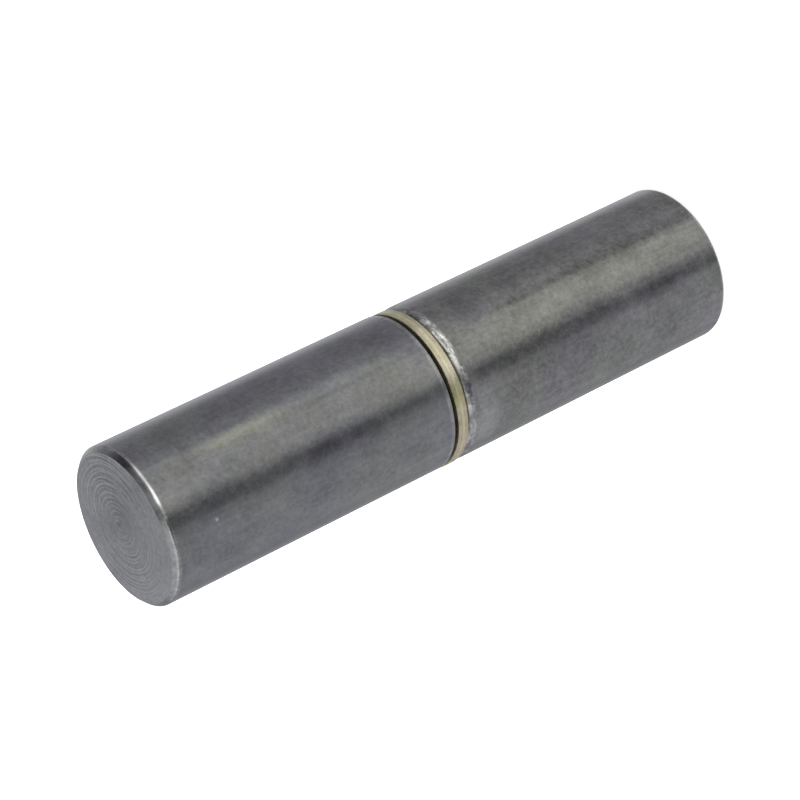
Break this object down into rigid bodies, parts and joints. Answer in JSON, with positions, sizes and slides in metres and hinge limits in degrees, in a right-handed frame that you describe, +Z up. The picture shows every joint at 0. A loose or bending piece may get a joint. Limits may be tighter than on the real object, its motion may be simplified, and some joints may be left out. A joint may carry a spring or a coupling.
{
  "type": "weld on barrel hinge",
  "caption": "Plain round weld-on hinge: turned steel barrels end to end on a hidden pin, with a brass washer between, upper half lifts off.",
  "frame": {"origin": "centre of the lower barrel's flat end, which the hinge stands on", "axes": "+Z up along the hinge's axis, from the lower barrel to the upper one"},
  "size_m": [0.019, 0.019, 0.08],
  "materials": {
    "dark_steel": "plain bright-drawn steel with a thin film of oil, dark satin grey",
    "bright_steel": "ground steel",
    "brass": "turned pale brass, not polished"
  },
  "bodies": {
    "lower": {"lower_barrel": "dark_steel", "hinge_pin": "bright_steel"},
    "washer": {"brass_washer": "brass"},
    "upper": {"upper_barrel": "dark_steel"}
  },
  "joints": [
    {"name": "turn", "type": "hinge", "parent": "lower", "child": "washer", "pos_m": [0, 0, 0.0395], "axis": [0, 0, 1], "continuous": true},
    {"name": "lift_off", "type": "slide", "parent": "washer", "child": "upper", "axis": [0, 0, 1], "range_m": [0, 0.03]}
  ]
}
